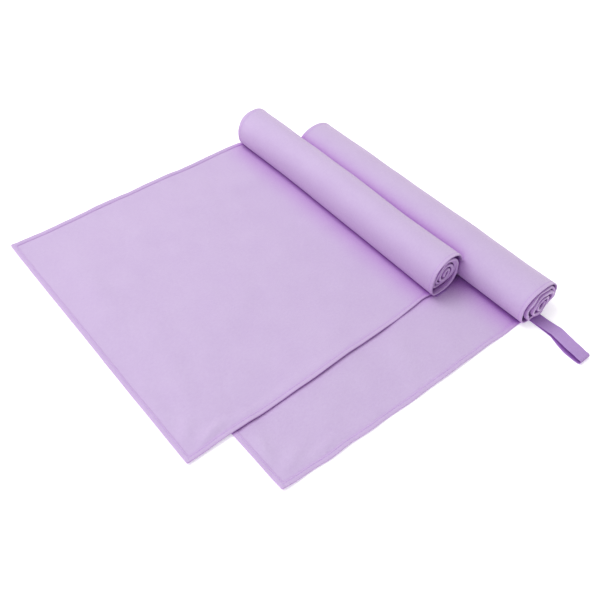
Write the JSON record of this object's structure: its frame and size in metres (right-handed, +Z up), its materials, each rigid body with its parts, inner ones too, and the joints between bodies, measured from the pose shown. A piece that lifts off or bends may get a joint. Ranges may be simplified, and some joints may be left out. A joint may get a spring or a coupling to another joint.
{
  "type": "quick dry towel",
  "caption": "Pair of thin microfibre quick dry towels, one lying on the other, each half flat and half rolled, with narrow sewn hems and a hanging loop in the side.",
  "frame": {"origin": "bottom centre of the overall box, on the surface that the lower towel lies on", "axes": "+X from the free ends towards the rolls, +Y along the rolls and away from the hanging loop, +Z up"},
  "size_m": [0.4735, 0.575, 0.0596],
  "materials": {
    "towel_cloth": "fine brushed microfibre",
    "hem_cloth": "double folded microfibre hem",
    "loop_strap": "folded microfibre strap",
    "sewing_thread": "polyester sewing thread"
  },
  "bodies": {
    "lower_towel": {"lower_free_end_hem": "hem_cloth", "lower_flat_cloth": "towel_cloth", "lower_flat_near_hem": "hem_cloth", "lower_flat_far_hem": "hem_cloth", "lower_roll_cloth": "towel_cloth", "lower_roll_near_hem": "hem_cloth", "lower_roll_far_hem": "hem_cloth", "lower_core_end_hem": "hem_cloth", "lower_free_end_thread": "sewing_thread", "lower_near_hem_thread": "sewing_thread", "lower_far_hem_thread": "sewing_thread", "lower_loop_root": "loop_strap", "lower_loop_bar_tack": "sewing_thread"},
    "lower_loop": {"lower_hanging_loop": "loop_strap"},
    "upper_towel": {"upper_flat_cloth": "towel_cloth", "upper_flat_near_hem": "hem_cloth", "upper_flat_far_hem": "hem_cloth", "upper_near_hem_thread": "sewing_thread", "upper_far_hem_thread": "sewing_thread"},
    "upper_flap": {"upper_free_end_hem": "hem_cloth", "upper_flap_cloth": "towel_cloth", "upper_flap_near_hem": "hem_cloth", "upper_flap_far_hem": "hem_cloth", "upper_free_end_thread": "sewing_thread", "upper_flap_near_thread": "sewing_thread", "upper_flap_far_thread": "sewing_thread"},
    "upper_roll": {"upper_under_roll_cloth": "towel_cloth", "upper_under_roll_near_hem": "hem_cloth", "upper_under_roll_far_hem": "hem_cloth", "upper_roll_cloth": "towel_cloth", "upper_roll_near_hem": "hem_cloth", "upper_roll_far_hem": "hem_cloth", "upper_core_end_hem": "hem_cloth", "upper_hanging_loop": "loop_strap", "upper_loop_bar_tack": "sewing_thread"}
  },
  "joints": [
    {"name": "upper_towel_lift", "type": "slide", "parent": "lower_towel", "child": "upper_towel", "axis": [0, 0, 1], "range_m": [0, 0.25]},
    {"name": "upper_flap_fold", "type": "hinge", "parent": "upper_towel", "child": "upper_flap", "pos_m": [-0.10685, 0.0875, 0.0055], "axis": [0, 1, 0], "range_deg": [0, 178]},
    {"name": "upper_roll_over", "type": "hinge", "parent": "upper_towel", "child": "upper_roll", "pos_m": [0.11645, 0.0875, 0.0053], "axis": [0, -1, 0], "range_deg": [0, 88]},
    {"name": "lower_loop_swing", "type": "hinge", "parent": "lower_towel", "child": "lower_loop", "pos_m": [0.20265, -0.20835, 0.0018], "axis": [-1, 0, 0], "range_deg": [0, 80]}
  ]
}
